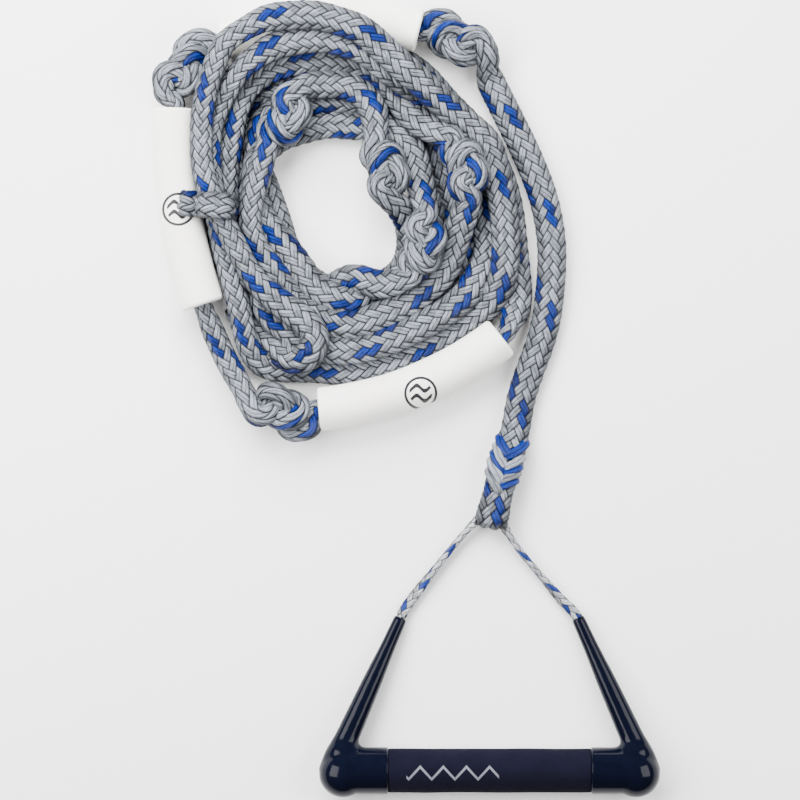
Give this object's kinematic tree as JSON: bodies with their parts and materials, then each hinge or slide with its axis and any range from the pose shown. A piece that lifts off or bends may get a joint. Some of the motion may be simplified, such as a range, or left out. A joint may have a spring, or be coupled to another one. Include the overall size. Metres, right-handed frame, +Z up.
{
  "type": "tow rope handle",
  "caption": "T-bar tow handle with a soft grip, two slanting arms and a cord bridle, on a thick flat braided rope coiled with knots and foam grab floats.",
  "frame": {"origin": "on the floor under the middle of the handle", "axes": "+X along the grip, +Y from the grip towards the bridle and the coil, +Z up"},
  "size_m": [0.3422, 0.5367, 0.0422],
  "materials": {
    "moulded_arm": "glossy dark navy moulding",
    "grip_suede": "matte dark navy suede over foam",
    "bar_metal": "drawn tube",
    "bar_plug_foam": "closed-cell foam",
    "washer_steel": "stainless",
    "rope_braid": "silver-grey braid with blue tracers, slight sheen",
    "float_foam": "smooth white closed-cell foam"
  },
  "bodies": {
    "root": {"bridle_eye": "rope_braid", "eye_splice": "rope_braid", "mainline": "rope_braid", "mainline_knot": "rope_braid", "left_top_knot": "rope_braid", "left_low_knot": "rope_braid", "inner_top_knot": "rope_braid", "inner_right_knot": "rope_braid", "inner_low_knot": "rope_braid", "middle_knot": "rope_braid", "top_float_core": "rope_braid", "left_float_core": "rope_braid", "bottom_float_core": "rope_braid", "boat_loop": "rope_braid", "hitch": "rope_braid", "left_lead": "rope_braid", "coil": "rope_braid"},
    "bridle": {"left_bridle_leg": "rope_braid", "right_bridle_leg": "rope_braid"},
    "handle": {"bar_tube": "bar_metal", "grip_sleeve": "grip_suede", "left_end_cap": "moulded_arm", "left_bar_plug": "bar_plug_foam", "left_knot_washer": "washer_steel", "left_stopper_knot": "rope_braid", "left_bridle_end": "rope_braid", "right_end_cap": "moulded_arm", "right_bar_plug": "bar_plug_foam", "right_knot_washer": "washer_steel", "right_stopper_knot": "rope_braid", "right_bridle_end": "rope_braid"},
    "top_float": {"top_float": "float_foam"},
    "left_float": {"left_float": "float_foam"},
    "bottom_float": {"bottom_float": "float_foam"}
  },
  "joints": [
    {"name": "handle_swing", "type": "hinge", "parent": "root", "child": "bridle", "pos_m": [0.0023, 0.1322, 0.0096], "axis": [0, 0, 1], "range_deg": [-40, 40]},
    {"name": "handle_lift", "type": "hinge", "parent": "bridle", "child": "handle", "pos_m": [0, 0.0594, 0.0047], "axis": [-1, 0, 0], "range_deg": [0, 70]},
    {"name": "top_float_slide", "type": "hinge", "parent": "root", "child": "top_float", "pos_m": [-0.09838, 0.25081, 0.015], "axis": [0, 0, 1], "range_deg": [-1.36, 1.36]},
    {"name": "left_float_slide", "type": "hinge", "parent": "root", "child": "left_float", "pos_m": [0.16349, 0.38904, 0.015], "axis": [0, 0, 1], "range_deg": [-0.76, 0.76]},
    {"name": "bottom_float_slide", "type": "hinge", "parent": "root", "child": "bottom_float", "pos_m": [-0.13663, 0.43476, 0.015], "axis": [0, 0, 1], "range_deg": [-1.22, 1.22]}
  ]
}
